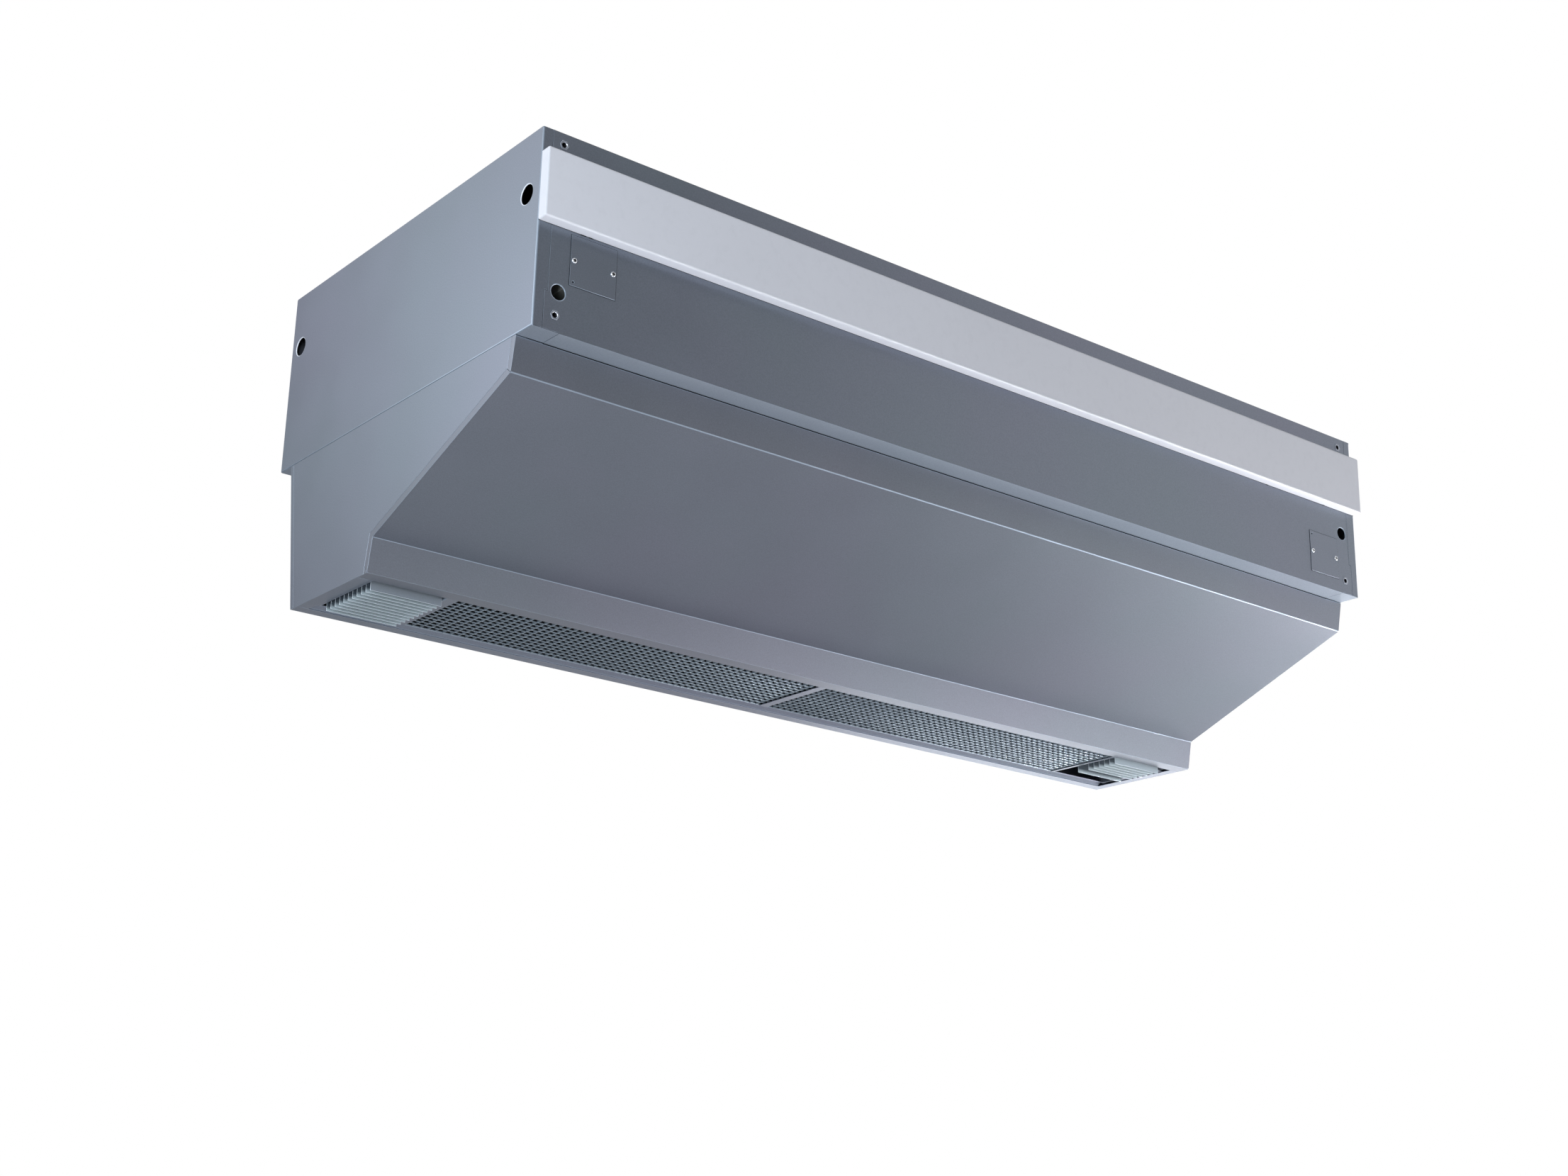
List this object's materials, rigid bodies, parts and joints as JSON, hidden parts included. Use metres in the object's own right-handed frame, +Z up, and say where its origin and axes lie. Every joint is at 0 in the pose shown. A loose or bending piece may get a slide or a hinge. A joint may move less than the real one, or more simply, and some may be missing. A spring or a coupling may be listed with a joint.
{
  "type": "air curtain",
  "caption": "Ceiling-hung air curtain: fan casing with a white fascia above a tapered duct, with a grid outlet and packs of tilting vanes at both ends.",
  "frame": {"origin": "centre of the four ceiling inserts, level with the casing's top face", "axes": "+X along the length to the right seen from the front, +Y from the front face to the back, +Z up"},
  "size_m": [2, 0.8535, 0.6307],
  "materials": {
    "panel_paint": "satin",
    "fascia_paint": "semi matt",
    "grid_metal": "satin",
    "vane_steel": "satin",
    "galvanised": "spangled zinc",
    "screw_zinc": "bright zinc",
    "motor_black": "matt",
    "light_plastic": "matt",
    "board_green": "matt",
    "fleece": "non-woven"
  },
  "bodies": {
    "casing": {"left_end_panel": "panel_paint", "right_end_panel": "panel_paint", "front_panel": "panel_paint", "rear_panel": "panel_paint", "top_panel": "panel_paint", "intake_grille": "panel_paint", "filter_frame": "galvanised", "filter_media": "fleece", "fascia_strip": "fascia_paint", "left_access_cover": "panel_paint", "right_access_cover": "panel_paint", "cover_screws": "screw_zinc", "front_inserts": "screw_zinc", "ceiling_inserts": "screw_zinc", "supply_box": "light_plastic", "supply_terminals": "light_plastic", "control_box": "light_plastic", "control_board": "board_green", "wiring_trunk": "light_plastic", "fan_deck": "galvanised", "duct_front_panel": "panel_paint", "duct_back_panel": "panel_paint", "duct_left_side": "panel_paint", "duct_right_side": "panel_paint", "left_grid": "grid_metal", "right_grid": "grid_metal", "centre_bar": "panel_paint", "rear_rail": "panel_paint", "left_outer_bracket": "panel_paint", "left_inner_bracket": "panel_paint", "right_inner_bracket": "panel_paint", "right_outer_bracket": "panel_paint", "fan_housing_1": "galvanised", "fan_motor_1": "motor_black", "fan_housing_2": "galvanised", "fan_motor_2": "motor_black", "fan_housing_3": "galvanised", "fan_motor_3": "motor_black"},
    "impeller_1": {"impeller_1": "galvanised"},
    "impeller_2": {"impeller_2": "galvanised"},
    "impeller_3": {"impeller_3": "galvanised"},
    "left_vane_1": {"left_vane_1": "vane_steel"},
    "left_vane_2": {"left_vane_2": "vane_steel"},
    "left_vane_3": {"left_vane_3": "vane_steel"},
    "left_vane_4": {"left_vane_4": "vane_steel"},
    "left_vane_5": {"left_vane_5": "vane_steel"},
    "left_vane_6": {"left_vane_6": "vane_steel"},
    "left_vane_7": {"left_vane_7": "vane_steel"},
    "left_vane_8": {"left_vane_8": "vane_steel"},
    "left_vane_9": {"left_vane_9": "vane_steel"},
    "left_vane_10": {"left_vane_10": "vane_steel"},
    "left_vane_11": {"left_vane_11": "vane_steel"},
    "right_vane_1": {"right_vane_1": "vane_steel"},
    "right_vane_2": {"right_vane_2": "vane_steel"},
    "right_vane_3": {"right_vane_3": "vane_steel"},
    "right_vane_4": {"right_vane_4": "vane_steel"},
    "right_vane_5": {"right_vane_5": "vane_steel"},
    "right_vane_6": {"right_vane_6": "vane_steel"},
    "right_vane_8": {"right_vane_8": "vane_steel"}
  },
  "joints": [
    {"name": "impeller_1_spin", "type": "hinge", "parent": "casing", "child": "impeller_1", "pos_m": [-0.62, -0.0165, -0.181], "axis": [1, 0, 0], "continuous": true},
    {"name": "impeller_2_spin", "type": "hinge", "parent": "casing", "child": "impeller_2", "pos_m": [0, -0.0165, -0.181], "axis": [1, 0, 0], "continuous": true},
    {"name": "impeller_3_spin", "type": "hinge", "parent": "casing", "child": "impeller_3", "pos_m": [0.62, -0.0165, -0.181], "axis": [1, 0, 0], "continuous": true},
    {"name": "left_vane_1_tilt", "type": "hinge", "parent": "casing", "child": "left_vane_1", "pos_m": [-0.89875, 0.1023, -0.6047], "axis": [1, 0, 0], "range_deg": [-15, 15]},
    {"name": "left_vane_2_tilt", "type": "hinge", "parent": "casing", "child": "left_vane_2", "pos_m": [-0.89875, 0.1177, -0.6047], "axis": [1, 0, 0], "range_deg": [-15, 15]},
    {"name": "left_vane_3_tilt", "type": "hinge", "parent": "casing", "child": "left_vane_3", "pos_m": [-0.89875, 0.1331, -0.6047], "axis": [1, 0, 0], "range_deg": [-15, 15]},
    {"name": "left_vane_4_tilt", "type": "hinge", "parent": "casing", "child": "left_vane_4", "pos_m": [-0.89875, 0.1485, -0.6047], "axis": [1, 0, 0], "range_deg": [-15, 15]},
    {"name": "left_vane_5_tilt", "type": "hinge", "parent": "casing", "child": "left_vane_5", "pos_m": [-0.89875, 0.1639, -0.6047], "axis": [1, 0, 0], "range_deg": [-15, 15]},
    {"name": "left_vane_6_tilt", "type": "hinge", "parent": "casing", "child": "left_vane_6", "pos_m": [-0.89875, 0.1793, -0.6047], "axis": [1, 0, 0], "range_deg": [-15, 15]},
    {"name": "left_vane_7_tilt", "type": "hinge", "parent": "casing", "child": "left_vane_7", "pos_m": [-0.89875, 0.1947, -0.6047], "axis": [1, 0, 0], "range_deg": [-15, 15]},
    {"name": "left_vane_8_tilt", "type": "hinge", "parent": "casing", "child": "left_vane_8", "pos_m": [-0.89875, 0.2101, -0.6047], "axis": [1, 0, 0], "range_deg": [-15, 15]},
    {"name": "left_vane_9_tilt", "type": "hinge", "parent": "casing", "child": "left_vane_9", "pos_m": [-0.89875, 0.2255, -0.6047], "axis": [1, 0, 0], "range_deg": [-15, 15]},
    {"name": "left_vane_10_tilt", "type": "hinge", "parent": "casing", "child": "left_vane_10", "pos_m": [-0.89875, 0.2409, -0.6047], "axis": [1, 0, 0], "range_deg": [-15, 15]},
    {"name": "left_vane_11_tilt", "type": "hinge", "parent": "casing", "child": "left_vane_11", "pos_m": [-0.89875, 0.2563, -0.6047], "axis": [1, 0, 0], "range_deg": [-15, 15]},
    {"name": "right_vane_1_tilt", "type": "hinge", "parent": "casing", "child": "right_vane_1", "pos_m": [0.88825, 0.1023, -0.6047], "axis": [1, 0, 0], "range_deg": [-15, 15]},
    {"name": "right_vane_2_tilt", "type": "hinge", "parent": "casing", "child": "right_vane_2", "pos_m": [0.88825, 0.1177, -0.6047], "axis": [1, 0, 0], "range_deg": [-15, 15]},
    {"name": "right_vane_3_tilt", "type": "hinge", "parent": "casing", "child": "right_vane_3", "pos_m": [0.88825, 0.1331, -0.6047], "axis": [1, 0, 0], "range_deg": [-15, 15]},
    {"name": "right_vane_4_tilt", "type": "hinge", "parent": "casing", "child": "right_vane_4", "pos_m": [0.88825, 0.1485, -0.6047], "axis": [1, 0, 0], "range_deg": [-15, 15]},
    {"name": "right_vane_5_tilt", "type": "hinge", "parent": "casing", "child": "right_vane_5", "pos_m": [0.88825, 0.1639, -0.6047], "axis": [1, 0, 0], "range_deg": [-15, 15]},
    {"name": "right_vane_6_tilt", "type": "hinge", "parent": "casing", "child": "right_vane_6", "pos_m": [0.88825, 0.1793, -0.6047], "axis": [1, 0, 0], "range_deg": [-15, 15]},
    {"name": "right_vane_8_tilt", "type": "hinge", "parent": "casing", "child": "right_vane_8", "pos_m": [0.88825, 0.2101, -0.6047], "axis": [1, 0, 0], "range_deg": [-15, 15]}
  ]
}
